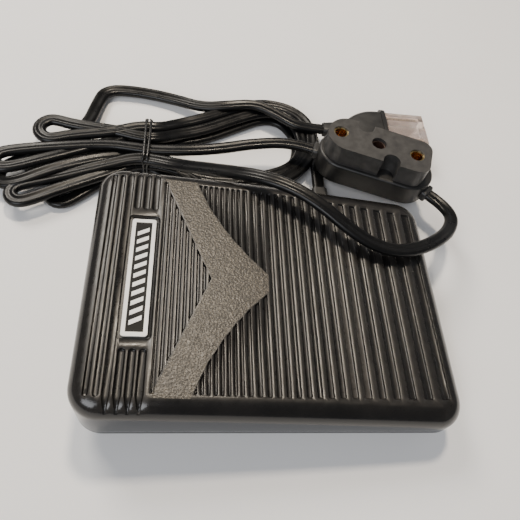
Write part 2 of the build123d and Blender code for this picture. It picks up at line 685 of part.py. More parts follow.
with BuildPart() as connector_shell:
    with BuildSketch(connector_plane.offset(CONNECTOR_BOTTOM)):
        with Locations((SHELL_SHIFT, 0)):
            SlotOverall(SHELL_LENGTH, SHELL_WIDTH)
    extrude(amount=CONNECTOR_STEP - CONNECTOR_BOTTOM)
    fillet(connector_shell.edges().group_by(Axis.Z)[0], 1.6)
    fillet(connector_shell.edges().group_by(Axis.Z)[-1], 1.0)
    # cord channels at both ends
    for end in (-1, 1):
        with BuildSketch(exit_plane(end, SHELL_ROUND + 1)):
            RectangleRounded(6.0, 4.0, 1.2)
        extrude(amount=-7.0, mode=Mode.SUBTRACT)
    with BuildSketch(connector_plane.offset(CONNECTOR_BOTTOM)):
        with Locations((-10, 0), (10, 0)):
            Circle(2.2)
    extrude(amount=1.6, mode=Mode.SUBTRACT)
keep(connector_shell, "connector_shell")

with BuildPart() as connector_face:
    with BuildSketch(connector_plane.offset(CONNECTOR_STEP)):
        # one end is a half circle, the other is squarer with round corners
        with Locations((FACE_SHIFT, 0)):
            SlotOverall(FACE_LENGTH, FACE_WIDTH)
        with Locations((FACE_SHIFT + FACE_LENGTH / 4, 0)):
            RectangleRounded(FACE_LENGTH / 2, FACE_WIDTH, FACE_CORNER)
        # keying notches, one on each long side
        with Locations((-NOTCH_X, FACE_WIDTH / 2), (NOTCH_X, -FACE_WIDTH / 2)):
            SlotOverall(2 * NOTCH_DEPTH, 2 * NOTCH_RADIUS, rotation=90, mode=Mode.SUBTRACT)
        with Locations((-SOCKET_PITCH, 0), (0, 0), (SOCKET_PITCH, 0)):
            Circle(SOCKET_OUTER, mode=Mode.SUBTRACT)
    extrude(amount=CONNECTOR_TOP - CONNECTOR_STEP)
keep(connector_face, "connector_face")

SOCKET_TOP = CONNECTOR_TOP - SOCKET_DEPTH
for name, places in (
    ("brass_sockets", ((-SOCKET_PITCH, 0), (SOCKET_PITCH, 0))),
    ("centre_socket", ((0, 0),)),
):
    with BuildPart() as sockets:
        drop = 0.0 if name == "brass_sockets" else 0.8
        with BuildSketch(connector_plane.offset(SOCKET_TOP - SOCKET_LENGTH - drop)):
            with Locations(*places):
                Circle(SOCKET_OUTER)
        extrude(amount=SOCKET_LENGTH)
        with BuildSketch(connector_plane.offset(SOCKET_TOP - drop)):
            with Locations(*places):
                Circle(SOCKET_BORE)
        extrude(amount=-(SOCKET_LENGTH - 1.0), mode=Mode.SUBTRACT)
    keep(sockets, name)

with BuildPart() as connector_screws:
    with BuildSketch(connector_plane.offset(CONNECTOR_BOTTOM + 0.4)):
        with Locations((-10, 0), (10, 0)):
            Circle(2.1)
    extrude(amount=1.2)
    with BuildSketch(connector_plane.offset(CONNECTOR_BOTTOM + 0.4)):
        with Locations((-10, 0), (10, 0)):
            Rectangle(2.6, 0.5)
            Rectangle(0.5, 2.6)
    extrude(amount=0.6, mode=Mode.SUBTRACT)
keep(connector_screws, "connector_screws")

BUSHING_IN = 5.6
BUSHING_OUT = 2.0
for end, word in ((-1, "left"), (1, "right")):
    with BuildPart() as connector_bushing:
        bushing_plane = exit_plane(end, SHELL_ROUND - BUSHING_IN)
        with BuildSketch(bushing_plane):
            RectangleRounded(5.8, 3.8, 1.1)
        extrude(amount=BUSHING_IN)
        with BuildSketch(bushing_plane.offset(BUSHING_IN)):
            RectangleRounded(7.0, 4.8, 1.4)
        extrude(amount=BUSHING_OUT)
        outward = Axis((0, 0, 0), tuple(bushing_plane.z_dir))
        fillet(connector_bushing.faces().sort_by(outward)[-1].edges(), 0.8)
    keep(connector_bushing, f"connector_bushing_{word}")

# ---------------------------------------------------------------- mains plug
PLUG_LENGTH = 17.0
PLUG_WIDTH = 23.0
PLUG_THICK = 13.0
PLUG_FLANGE = 2.2
PLUG_RELIEF = 12.0
BLADE_LENGTH = 16.0
BLADE_WIDTH = 6.4
BLADE_THICK = 1.5
COVER_LENGTH = 18.0
COVER_GAP = 0.3
PLUG_FACE = PLUG_X + PLUG_LENGTH
AHEAD = (Align.MIN, Align.CENTER, Align.CENTER)

with BuildPart() as plug_body:
    for x, width, thick in (
        (PLUG_X, 12.0, 8.5),
        (PLUG_X + 7.0, PLUG_WIDTH - 3, PLUG_THICK - 2.5),
        (PLUG_FACE - PLUG_FLANGE, PLUG_WIDTH - 2, PLUG_THICK - 1.5),
    ):
        with BuildSketch(Plane.YZ.offset(x)):
            with Locations((PLUG_Y, PLUG_Z)):
                RectangleRounded(width, thick, 3.4)
    loft()
    with BuildSketch(Plane.YZ.offset(PLUG_FACE - PLUG_FLANGE)):
        with Locations((PLUG_Y, PLUG_Z)):
            RectangleRounded(PLUG_WIDTH, PLUG_THICK, 4.0)
    extrude(amount=PLUG_FLANGE)
    fillet(plug_body.faces().sort_by(Axis.X)[-1].edges(), 0.6)
keep(plug_body, "plug_body")

with BuildPart() as plug_relief:
    for x, width, thick in ((PLUG_X, 8.6, 6.4), (PLUG_X - PLUG_RELIEF, 6.2, 4.6)):
        with BuildSketch(Plane.YZ.offset(x)):
            with Locations((PLUG_Y, PLUG_Z)):
                RectangleRounded(width, thick, 1.9)
    loft()
keep(plug_relief, "plug_relief")

with BuildPart() as plug_blades:
    for dy in (-BLADE_SPACING / 2, BLADE_SPACING / 2):
        with Locations((PLUG_FACE, PLUG_Y + dy, PLUG_Z)):
            Box(BLADE_LENGTH, BLADE_THICK, BLADE_WIDTH, align=AHEAD)
    chamfer(plug_blades.faces().group_by(Axis.X)[-1].edges(), 0.4)
    with Locations(Location((PLUG_FACE + BLADE_LENGTH - 4.0, PLUG_Y, PLUG_Z), (90, 0, 0))):
        Cylinder(1.5, PLUG_WIDTH, mode=Mode.SUBTRACT)
keep(plug_blades, "plug_blades")

pocket = [size + 2 * COVER_GAP for size in (BLADE_LENGTH, BLADE_THICK, BLADE_WIDTH)]
with BuildPart() as blade_cover:
    with Locations((PLUG_FACE + COVER_GAP, PLUG_Y, PLUG_Z)):
        Box(COVER_LENGTH, 20.0, 10.6, align=AHEAD)
    fillet(blade_cover.edges().filter_by(Axis.X), 2.0)
    with Locations((PLUG_FACE, PLUG_Y, PLUG_Z)):
        with GridLocations(1, BLADE_SPACING, 1, 2):
            Box(*pocket, align=AHEAD, mode=Mode.SUBTRACT)
keep(blade_cover, "blade_cover")

# ---------------------------------------------------------------- cords and hank


def cord_tube(name, points):
    """A cord's plain tube: straight runs joined by the largest arcs that the runs allow."""
    route = [Vector(*point) for point in points]
    runs = [b - a for a, b in zip(route, route[1:])]
    radii = []
    for run, after in zip(runs, runs[1:]):
        half_turn = math.radians(run.get_angle(after)) / 2
        radii.append(0.45 * min(run.length, after.length) / math.tan(half_turn))
    with BuildPart() as tube:
        with BuildLine() as path:
            if radii:
                FilletPolyline(*route, radius=radii)
            else:
                Line(*route)
        with BuildSketch(Plane(origin=path.line @ 0, z_dir=path.line % 0)):
            Circle(CORD_TUBE / 2)
        sweep()
    length = sum(edge.length for edge in path.line.edges())
    share = tube.part.volume / (math.pi * (CORD_TUBE / 2) ** 2 * length)
    print(f"{name}: length {length:.1f}, radii {[round(r, 1) for r in radii]}, volume {share:.4f}")
    keep(tube, name)


bushing_end = SHELL_ROUND + BUSHING_OUT

# the pedal's own cord leaves the strain relief and runs into the hank
cord_tube("pedal_cord_tail", [(CORD_X, RELIEF_OUT_Y, CORD_Z), (CORD_X, 71.0, CORD_Z)])

# it leaves the hank again and ends in the connector's left side
cord_tube("pedal_cord_lead", [
    tuple(on_exit(-1, bushing_end)),
    tuple(on_exit(-1, bushing_end + 10.0)),
    (-4.0, 74.8, 11.8),
    (-17.0, 71.8, 10.6),
    (-30.0, 69.8, 10.2),
    (-44.4, 69.8, 8.9),
])

# the mains cord leaves the connector's right side, turns back over the tread's far heel
# corner and runs down into the hank
cord_tube("mains_cord_lead", [
    tuple(on_exit(1, bushing_end)),
    tuple(on_exit(1, bushing_end + 6.6)),
    (76.0, 39.8, 14.8),
    (71.4, 31.6, 17.2),
    (64.8, 25.2, 20.0),
    (56.6, 19.6, 22.4),
    (46.8, 15.8, 23.8),
    (36.4, 16.4, 25.6),
    (26.4, 21.2, 28.4),
    (17.2, 28.2, 31.2),
    (7.4, 34.6, 32.4),
    (-3.4, 39.4, 31.6),
    (-13.6, 45.2, 26.6),
    (-24.0, 53.4, 18.4),
    (-34.4, 60.6, 11.2),
    (-44.4, 64.6, 8.9),
])

# a loose loop of the mains cord folds sharply beside the hank
cord_tube("mains_cord_loop", [
    (-25.0, 100.0, 4.0),
    (-38.0, 107.2, 3.6),
    (-53.0, 110.4, 3.2),
    (-68.4, 110.0, 3.2),
    (-71.0, 98.5, 3.6),
    (-71.6, 86.5, 4.6),
])

# and its last stretch ends in the plug
cord_tube("mains_cord_tail", [
    (PLUG_X - PLUG_RELIEF, PLUG_Y, PLUG_Z),
    (23.5, PLUG_Y, PLUG_Z),
])

HANK_BOTTOM = 0.4
HANK_TOP = 10.2
HANK_LOW_TOP = 7.4
HANK_LOW_X = 14.0
FAN_TOP = 9.0
WAIST_Y = (62.5, 86.5)
WAIST_Z = (1.0, 11.0)
TIE_WIDTH = 2.0
TIE_THICKNESS = 0.6
TIE_GAP = 0.1

ring_outside = [
    (-45, WAIST_Y[1]), (-26, 99.5), (-11, 108), (4, 112.5), (17, 111),
    (25, 104), (28, 95), (28.8, 85), (26.5, 74), (19, 63),
    (7, 54), (-9, 48.6), (-26, 48.4), (-38, 54.5), (-45, WAIST_Y[0]),
]
ring_inside = [
    (-24, 76), (-8, 89), (3, 96), (11, 94.5), (15.5, 86), (14, 74), (6, 66.5), (-10, 64.2), (-22, 67),
]
fan_outside = [
    (-49.4, WAIST_Y[0]), (-60, 53), (-74, 46.4), (-90, 43.8), (-97, 50), (-100.5, 60),
    (-103, 70), (-95, 81), (-84, 88), (-70, 89.4), (-49.4, WAIST_Y[1]),
]

with BuildPart() as cord_hank:
    # loops to the right of the tie
    with BuildSketch(Plane.XY.offset(HANK_BOTTOM)):
        with BuildLine():
            Spline(*ring_outside)
            Line(ring_outside[-1], ring_outside[0])
        make_face()
        with BuildLine():
            Spline(*ring_inside, periodic=True)
        make_face(mode=Mode.SUBTRACT)
    extrude(amount=HANK_TOP - HANK_BOTTOM)
    with Locations((HANK_LOW_X, 80, HANK_LOW_TOP)):
        Box(40, 80, 10, align=(Align.MIN, Align.CENTER, Align.MIN), mode=Mode.SUBTRACT)
    # loop ends fan out to the left of the tie
    with BuildSketch(Plane.XY.offset(HANK_BOTTOM)):
        with BuildLine():
            Spline(*fan_outside)
            Line(fan_outside[-1], fan_outside[0])
        make_face()
    extrude(amount=FAN_TOP - HANK_BOTTOM)
    # waist inside the tie
    with Locations((TIE_X, sum(WAIST_Y) / 2, WAIST_Z[0])):
        Box(4.8, WAIST_Y[1] - WAIST_Y[0], WAIST_Z[1] - WAIST_Z[0], align=ON_TOP)
keep(cord_hank, "cord_hank")

with BuildPart() as twist_tie:
    waist_width = WAIST_Y[1] - WAIST_Y[0] + 2 * TIE_GAP
    waist_height = WAIST_Z[1] - WAIST_Z[0] + 2 * TIE_GAP
    with BuildSketch(Plane.YZ.offset(TIE_X - TIE_WIDTH / 2)):
        with Locations((sum(WAIST_Y) / 2, sum(WAIST_Z) / 2)):
            Rectangle(waist_width + 2 * TIE_THICKNESS, waist_height + 2 * TIE_THICKNESS)
            Rectangle(waist_width, waist_height, mode=Mode.SUBTRACT)
    extrude(amount=TIE_WIDTH)
keep(twist_tie, "twist_tie")
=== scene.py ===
import json
import math
import bpy
import numpy as np
from mathutils import Matrix, Vector, noise
from mathutils.geometry import delaunay_2d_cdt


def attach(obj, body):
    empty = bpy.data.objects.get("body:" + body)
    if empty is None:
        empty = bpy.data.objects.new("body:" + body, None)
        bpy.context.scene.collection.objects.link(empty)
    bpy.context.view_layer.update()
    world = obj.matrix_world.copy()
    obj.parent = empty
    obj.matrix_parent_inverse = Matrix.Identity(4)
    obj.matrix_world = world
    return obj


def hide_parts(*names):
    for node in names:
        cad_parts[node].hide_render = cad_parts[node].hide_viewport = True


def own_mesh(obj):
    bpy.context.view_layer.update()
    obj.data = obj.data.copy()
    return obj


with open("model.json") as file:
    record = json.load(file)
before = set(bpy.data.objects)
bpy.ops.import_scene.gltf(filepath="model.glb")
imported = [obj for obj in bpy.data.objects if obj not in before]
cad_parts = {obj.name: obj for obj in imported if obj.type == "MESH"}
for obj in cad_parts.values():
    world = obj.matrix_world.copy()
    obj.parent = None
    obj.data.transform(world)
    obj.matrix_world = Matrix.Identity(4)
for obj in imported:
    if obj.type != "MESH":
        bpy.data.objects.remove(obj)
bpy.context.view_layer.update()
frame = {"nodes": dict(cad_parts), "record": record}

# All sizes below are in millimetres, in the pedal's own frame: X from toe to heel, +Y to the
# far side where the cord leaves, Z up. MM turns them into Blender's metres.
MM = 0.001

# ---------------------------------------------------------------- small helpers


def new_object(name, data):
    piece = bpy.data.objects.new(name, data)
    bpy.context.scene.collection.objects.link(piece)
    return piece


def new_mesh(name, points, faces, sharp=None):
    """A mesh object from points in millimetres, shaded smooth, with edges over sharp degrees hard."""
    mesh = bpy.data.meshes.new(name)
    mesh.from_pydata([tuple(c * MM for c in p) for p in points], [], faces)
    mesh.validate()
    mesh.shade_smooth()
    if sharp is not None:
        mesh.set_sharp_from_angle(angle=math.radians(sharp))
    mesh.update()
    return new_object(name, mesh)


def put(piece, material, body, slot, *nodes):
    """Give a piece its material and its body, and hide the CAD nodes that it stands for; slot is not
    used.
    """
    piece.data.materials.clear()
    piece.data.materials.append(material)
    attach(piece, body)
    if nodes:
        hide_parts(*nodes)


def lerp(a, b, t):
    return a + (b - a) * t


def smooth_step(low, high, value):
    t = min(1.0, max(0.0, (value - low) / (high - low)))
    return t * t * (3 - 2 * t)


# A rectangle's corners in order: the signs of X and Y, and the quarter turn where its arc starts.
QUARTERS = ((1, 1, 0), (-1, 1, 1), (-1, -1, 2), (1, -1, 3))


# ---------------------------------------------------------------- camera
CAMERA_PLACE = (-30.1, -82.65, 169.16)
CAMERA_YAW = 15.31
CAMERA_PITCH = 56.66
CAMERA_ROLL = 15.58
LENS = 36.0


def camera_axes(yaw, pitch, roll):
    """Right, up and forward of a camera that looks down by pitch, turned by yaw and rolled."""
    forward = Vector((
        math.sin(yaw) * math.cos(pitch),
        math.cos(yaw) * math.cos(pitch),
        -math.sin(pitch),
    ))
    level = Vector((math.cos(yaw), -math.sin(yaw), 0))
    above = level.cross(forward)
    right = level * math.cos(roll) + above * math.sin(roll)
    up = above * math.cos(roll) - level * math.sin(roll)
    return right, up, forward


camera_data = bpy.data.cameras.new("camera")
camera_data.lens = LENS
camera_data.sensor_width = LENS
camera_data.clip_start = 0.01
camera_data.clip_end = 20
camera = new_object("camera", camera_data)
right, up, forward = camera_axes(*(math.radians(a) for a in (CAMERA_YAW, CAMERA_PITCH, CAMERA_ROLL)))
camera.matrix_world = Matrix.Translation(Vector(CAMERA_PLACE) * MM) @ Matrix((
    (right.x, up.x, -forward.x, 0),
    (right.y, up.y, -forward.y, 0),
    (right.z, up.z, -forward.z, 0),
    (0, 0, 0, 1),
))
bpy.context.scene.camera = camera

# ---------------------------------------------------------------- materials


class Shader:
    """A node material being built: its Principled node, and short ways to add other nodes."""

    def __init__(self, name, color, roughness, **sockets):
        self.material = bpy.data.materials.new(name)
        self.material.use_nodes = True
        self.tree = self.material.node_tree
        self.principled = self.tree.nodes["Principled BSDF"]
        self.principled.inputs["Base Color"].default_value = (*color, 1)
        self.principled.inputs["Roughness"].default_value = roughness
        for socket, value in sockets.items():
            self.principled.inputs[socket.replace("_", " ")].default_value = value
        self.place = self.node("ShaderNodeTexCoord").outputs["Object"]

    def node(self, kind, **values):
        made = self.tree.nodes.new(kind)
        for name, value in values.items():
            if hasattr(made, name):
                setattr(made, name, value)
            else:
                made.inputs[name.replace("_", " ")].default_value = value
        return made

    def link(self, output, socket):
        self.tree.links.new(output, socket)

    def to(self, output, socket):
        self.link(output, self.principled.inputs[socket])

    def noise(self, size, detail=3.0, stretch=(1, 1, 1)):
        """Noise whose features are about size millimetres across."""
        mapped = self.node("ShaderNodeMapping", Scale=stretch)
        self.link(self.place, mapped.inputs["Vector"])
        made = self.node("ShaderNodeTexNoise", Scale=1 / (size * MM), Detail=detail)
        self.link(mapped.outputs["Vector"], made.inputs["Vector"])
        return made.outputs["Fac"]

    def cells(self, size):
        """Rounded cells about size millimetres across."""
        made = self.node("ShaderNodeTexVoronoi", feature="F1", Scale=1 / (size * MM))
        self.link(self.place, made.inputs["Vector"])
        return made.outputs["Distance"]

    def spread(self, output, low, high, start=0.3, end=0.7):
        """A value that goes from low to high as output goes from start to end."""
        made = self.node("ShaderNodeMapRange", From_Min=start, From_Max=end, To_Min=low, To_Max=high)
        self.link(output, made.inputs["Value"])
        return made.outputs["Result"]

    def mix(self, factor, first, second):
        """A colour between first and second."""
        made = self.node("ShaderNodeMix", data_type="RGBA")
        self.link(factor, made.inputs["Factor"])
        for socket, value in ((made.inputs[6], first), (made.inputs[7], second)):
            if isinstance(value, tuple):
                socket.default_value = (*value, 1)
            else:
                self.link(value, socket)
        return made.outputs[2]

    def math(self, operation, first, second):
        made = self.node("ShaderNodeMath", operation=operation)
        for socket, value in zip(made.inputs, (first, second)):
            if isinstance(value, (int, float)):
                socket.default_value = value
            else:
                self.link(value, socket)
        return made.outputs[0]

    def bump(self, height, depth):
        """Relief of about depth millimetres, on top of any relief there already is."""
        made = self.node("ShaderNodeBump", Distance=depth * MM, Strength=1.0)
        self.link(height, made.inputs["Height"])
        before = self.principled.inputs["Normal"].links
        if before:
            self.link(before[0].from_socket, made.inputs["Normal"])
        self.to(made.outputs["Normal"], "Normal")


def moulded(name, color, light, roughness, grain=0.25, relief=0.012, mottle=9.0, **sockets):
    """Moulded plastic or rubber: mottled colour, uneven gloss and a fine surface grain."""
    shader = Shader(name, color, roughness[0], **sockets)
    patch = shader.noise(mottle)
    shader.to(shader.mix(shader.spread(patch, 0, 1), color, light), "Base Color")
    shader.to(shader.spread(shader.noise(mottle / 3), *roughness), "Roughness")
    shader.bump(shader.noise(grain, detail=2), relief)
    return shader


def metal(name, color, light, roughness, grain=0.3, stretch=(1, 1, 1), relief=0.004):
    """Bare or plated metal with tarnish patches and fine marks along one direction."""
    shader = Shader(name, color, roughness[0], Metallic=1.0)
    shader.to(shader.mix(shader.spread(shader.noise(2.5), 0, 1), color, light), "Base Color")
    shader.to(shader.spread(shader.noise(grain, stretch=stretch), *roughness), "Roughness")
    shader.bump(shader.noise(grain, stretch=stretch), relief)
    return shader


def edge_highlight_and_wear(shader, color):
    """Lighten the colour along convex edges: a painted edge highlight, together with some rubbed wear
    from handling.
    """
    edge = shader.node("ShaderNodeNewGeometry").outputs["Pointiness"]
    # painted edge highlight mixed with wear: convex edges, in patches, take the lighter colour
    highlight_and_wear_mask = shader.math("MULTIPLY", shader.spread(edge, 0, 0.6, 0.51, 0.58), shader.noise(3.0))
    before = shader.principled.inputs["Base Color"].links[0].from_socket
    shader.to(shader.mix(highlight_and_wear_mask, before, color), "Base Color")


def tread_material():
    """Charcoal plastic: satin on the top, glossy round the shoulders, with a painted edge highlight
    mixed with some wear along the edges.
    """
    shader = moulded("tread plastic", (0.005, 0.0045, 0.0041), (0.009, 0.008, 0.0072), (0.34, 0.44),
                     grain=0.35, relief=0.012)
    normal = shader.node("ShaderNodeNewGeometry").outputs["Normal"]
    split = shader.node("ShaderNodeSeparateXYZ")
    shader.link(normal, split.inputs["Vector"])
    top = shader.spread(split.outputs["Z"], 0, 1, 0.86, 0.985)
    satin = shader.spread(shader.noise(2.2), 0.28, 0.4)
    gloss = shader.spread(shader.noise(14), 0.13, 0.2)
    blend = shader.node("ShaderNodeMix", data_type="FLOAT")
    shader.link(top, blend.inputs["Factor"])
    shader.link(gloss, blend.inputs[2])
    shader.link(satin, blend.inputs[3])
    shader.to(blend.outputs[0], "Roughness")
    # warm cream on the convex edges: painted edge highlight, with some wear
    edge_highlight_and_wear(shader, (0.16, 0.145, 0.13))
    return shader.material


def chevron_material():
    """Spark-eroded grain: small painted glints of warm light on a duller, lighter ground."""
    shader = moulded("chevron grain", (0.026, 0.0225, 0.018), (0.038, 0.033, 0.026), (0.36, 0.48),
                     grain=0.5, relief=0.05, mottle=6.0)
    # painted glints: small spots of warm light painted into the base colour
    painted_glints = shader.spread(shader.noise(0.42, detail=1), 0, 0.8, 0.5, 0.7)
    ground = shader.principled.inputs["Base Color"].links[0].from_socket
    shader.to(shader.mix(painted_glints, ground, (0.2, 0.17, 0.13)), "Base Color")
    shader.bump(shader.cells(0.75), 0.08)
    return shader.material


def cord_material():
    """Black PVC with a satin skin, faint drawing marks and a little dust."""
    shader = moulded("cord pvc", (0.0035, 0.0035, 0.0038), (0.008, 0.0078, 0.0076), (0.24, 0.36),
                     grain=1.4, relief=0.003, mottle=14.0, Specular_IOR_Level=0.26)
    return shader.material


def connector_material():
    """Grey-black phenolic with flow marks, and edges lightened as painted highlight mixed with rubbed
    wear.
    """
    shader = moulded("connector plastic", (0.009, 0.0088, 0.0088), (0.017, 0.0165, 0.0162), (0.34, 0.46),
                     grain=0.3, relief=0.014, mottle=5.0)
    shader.bump(shader.noise(1.8, stretch=(1, 3, 1)), 0.02)
    # lighter grey on the convex edges: painted edge highlight, with some wear
    edge_highlight_and_wear(shader, (0.12, 0.114, 0.108))
    return shader.material


def brass_material():
    """Brass linings, with painted shade that darkens them from the mouth down the bore."""
    shader = metal("socket brass", (0.6, 0.42, 0.17), (0.86, 0.7, 0.38), (0.14, 0.3))
    split = shader.node("ShaderNodeSeparateXYZ")
    shader.link(shader.place, split.inputs["Vector"])
    foot, mouth = 20.5, 25.8
    # painted shade: the brass darkens from the mouth down to the foot of the bore
    painted_bore_light = shader.spread(split.outputs["Z"], 0, 1, foot * MM, mouth * MM)
    before = shader.principled.inputs["Base Color"].links[0].from_socket
    shader.to(shader.mix(painted_bore_light, (0.3, 0.16, 0.045), before), "Base Color")
    return shader.material


def clear_material():
    """Soft clear plastic of the blade cover, a little pink and hazy."""
    shader = Shader("clear plastic", (0.93, 0.83, 0.78), 0.12, Transmission_Weight=0.92, IOR=1.45)
    haze = shader.noise(4.0)
    tint = shader.mix(shader.spread(haze, 0, 1), (0.95, 0.86, 0.82), (0.85, 0.74, 0.68))
    shader.to(tint, "Base Color")
    shader.to(shader.spread(shader.noise(1.2), 0.06, 0.2), "Roughness")
    shader.bump(shader.noise(2.4), 0.03)
    return shader.material


def laminate_material():
    """Brown paper laminate with a faint fibre pattern."""
    shader = moulded("board laminate", (0.3, 0.19, 0.08), (0.42, 0.28, 0.13), (0.4, 0.55), mottle=3.0)
    shader.bump(shader.noise(0.4, stretch=(6, 1, 1)), 0.01)
    return shader.material


def winding_material():
    """Enamelled wire laid in turns, one above the other, with painted shade in the grooves between the
    turns.
    """
    shader = Shader("enamel copper", (0.5, 0.2, 0.07), 0.3, Metallic=0.8)
    turns = shader.node("ShaderNodeTexWave", bands_direction="Z", Scale=1 / (2.6 * MM), Distortion=0.4)
    shader.link(shader.place, turns.inputs["Vector"])
    # painted shade: dark in the grooves between turns and light on their crowns
    shader.to(shader.mix(turns.outputs["Fac"], (0.28, 0.1, 0.03), (0.62, 0.27, 0.1)), "Base Color")
    shader.bump(turns.outputs["Fac"], 0.12)
    return shader.material


def resistor_material():
    """Lacquered body with painted bands across it."""
    shader = Shader("resistor lacquer", (0.6, 0.45, 0.26), 0.35)
    bands = shader.node("ShaderNodeTexWave", bands_direction="Y", Scale=1 / (2.2 * MM))
    shader.link(shader.place, bands.inputs["Vector"])
    edge = shader.spread(bands.outputs["Fac"], 0, 1, 0.72, 0.8)
    shader.to(shader.mix(edge, (0.6, 0.45, 0.26), (0.14, 0.05, 0.03)), "Base Color")
    shader.to(shader.spread(shader.noise(1.0), 0.28, 0.42), "Roughness")
    return shader.material


def plain_grey(name, dark, light, roughness, **more):
    return moulded(name, (dark,) * 3, (light,) * 3, roughness, **more).material


MATERIALS = {
    "tread_plastic": tread_material(),
    "label_white": moulded("label white", (0.8, 0.79, 0.76), (0.88, 0.87, 0.85), (0.3, 0.42),
                           relief=0.004).material,
    "label_black": plain_grey("label black", 0.006, 0.011, (0.42, 0.55), relief=0.004,
                              Specular_IOR_Level=0.12),
    "inner_plastic": moulded("acetal", (0.66, 0.64, 0.59), (0.74, 0.72, 0.68), (0.4, 0.5)).material,
    "screw_steel": metal("zinc steel", (0.5, 0.5, 0.52), (0.66, 0.65, 0.62), (0.22, 0.4)).material,
    "base_plastic": plain_grey("base plastic", 0.012, 0.021, (0.42, 0.56), grain=0.4, relief=0.03),
    "foot_rubber": plain_grey("foot rubber", 0.018, 0.03, (0.65, 0.8), grain=0.3, relief=0.03),
    "rod_steel": metal("drawn steel", (0.55, 0.55, 0.57), (0.68, 0.68, 0.69), (0.18, 0.32),
                       stretch=(8, 1, 8)).material,
    "spring_steel": metal("spring wire", (0.42, 0.42, 0.44), (0.58, 0.57, 0.55), (0.2, 0.36)).material,
    "board_laminate": laminate_material(),
    "pot_case": moulded("pot case", (0.05, 0.1, 0.24), (0.08, 0.15, 0.32), (0.4, 0.5)).material,
    "sink_aluminium": metal("mill aluminium", (0.7, 0.71, 0.72), (0.8, 0.8, 0.8), (0.25, 0.42),
                            stretch=(1, 1, 9)).material,
    "component_black": plain_grey("moulded epoxy", 0.02, 0.034, (0.5, 0.62)),
    "capacitor_case": moulded("capacitor case", (0.62, 0.5, 0.08), (0.72, 0.6, 0.12),
                              (0.28, 0.4)).material,
    "disc_ceramic": moulded("dipped ceramic", (0.55, 0.25, 0.06), (0.68, 0.34, 0.1), (0.3, 0.45),
                            mottle=2.0).material,
    "ferrite": plain_grey("ferrite", 0.07, 0.11, (0.6, 0.75), relief=0.03),
    "enamel_copper": winding_material(),
    "resistor_body": resistor_material(),
    "diode_glass": moulded("diode glass", (0.5, 0.12, 0.04), (0.6, 0.2, 0.07), (0.1, 0.2),
                           mottle=1.5).material,
    "cord_pvc": cord_material(),
    "lead_insulation": plain_grey("lead insulation", 0.03, 0.05, (0.35, 0.45)),
    "cord_rubber": plain_grey("bushing pvc", 0.012, 0.022, (0.36, 0.5), relief=0.02),
    "tie_plastic": plain_grey("tie plastic", 0.008, 0.016, (0.22, 0.34)),
    "connector_plastic": connector_material(),
    "socket_brass": brass_material(),
    "socket_dark": moulded("dark socket", (0.02, 0.009, 0.006), (0.045, 0.02, 0.013), (0.4, 0.6),
                           mottle=1.5).material,
    "plug_pvc": plain_grey("plug pvc", 0.014, 0.026, (0.34, 0.48), grain=0.5, relief=0.03),
    "blade_metal": metal("plated blade", (0.6, 0.52, 0.36), (0.78, 0.72, 0.55), (0.2, 0.36),
                         stretch=(1, 6, 1)).material,
    "clear_plastic": clear_material(),
}
CHEVRON = chevron_material()

slot_of = {part["node"]: part["material_slot"] for part in frame["record"]["subparts"]}
for node, piece in frame["nodes"].items():
    piece.data.materials.clear()
    piece.data.materials.append(MATERIALS[slot_of[node]])

# ---------------------------------------------------------------- cords
CORD_WIDTH = 5.4
CORD_THICK = 2.8
LOBE = CORD_WIDTH / 2 - CORD_THICK / 2
CORD_STEP = 1.3

# where the strands pass the tie: four columns across it and three rows up
TIE_X = -47.2
PASS_RIGHT = TIE_X + 4.6
PASS_LEFT = TIE_X - 4.0
COLUMN_Y = {1: 65.3, 2: 71.2, 3: 77.2, 4: 83.2}
ROW_Z = {1: 2.4, 2: 5.3, 3: 8.4}

# the ring to the right of the tie, from its upper strands round to its lower ones: the
# outermost place of a turn and the innermost one
RING_OUTER = [
    (-36, 91.5), (-25, 97.5), (-12, 105.4), (2, 110.0), (14.5, 108.8), (22.8, 102.6), (26.2, 94.5),
    (26.6, 84.6), (24.2, 74.4), (17.2, 64.6), (6, 56.4), (-9, 51.4), (-25, 51.2), (-37, 57.0),
]
RING_INNER = [
    (-34, 78.5), (-22, 81.5), (-9, 90.0), (2.5, 97.0), (10, 96.0), (13.8, 91.0), (15.4, 85.0),
    (15.2, 79.0), (13, 73.0), (6.5, 68.2), (-4, 65.8), (-14, 65.4), (-25, 66.2), (-36, 67.6),
]


def tie_pass(column, row, leftward):
    """A strand's straight way through the tie."""
    points = [(x, COLUMN_Y[column], ROW_Z[row]) for x in (PASS_RIGHT, PASS_LEFT)]
    return points if leftward else points[::-1]


def ring_turn(share, height, clockwise=True, stop=14):
    """One turn of the ring: share is 0 outermost and 1 innermost, clockwise starts at the top."""
    points = []
    for n in range(stop):
        (ox, oy), (ix, iy) = RING_OUTER[n], RING_INNER[n]
        swell = 0.35 * math.sin(2.1 * n + 9 * share)
        z = height + 0.3 * math.sin(1.3 * n + 5 * share)
        points.append((lerp(ox, ix, share), lerp(oy, iy, share) + swell, z))
    return points if clockwise else points[::-1]


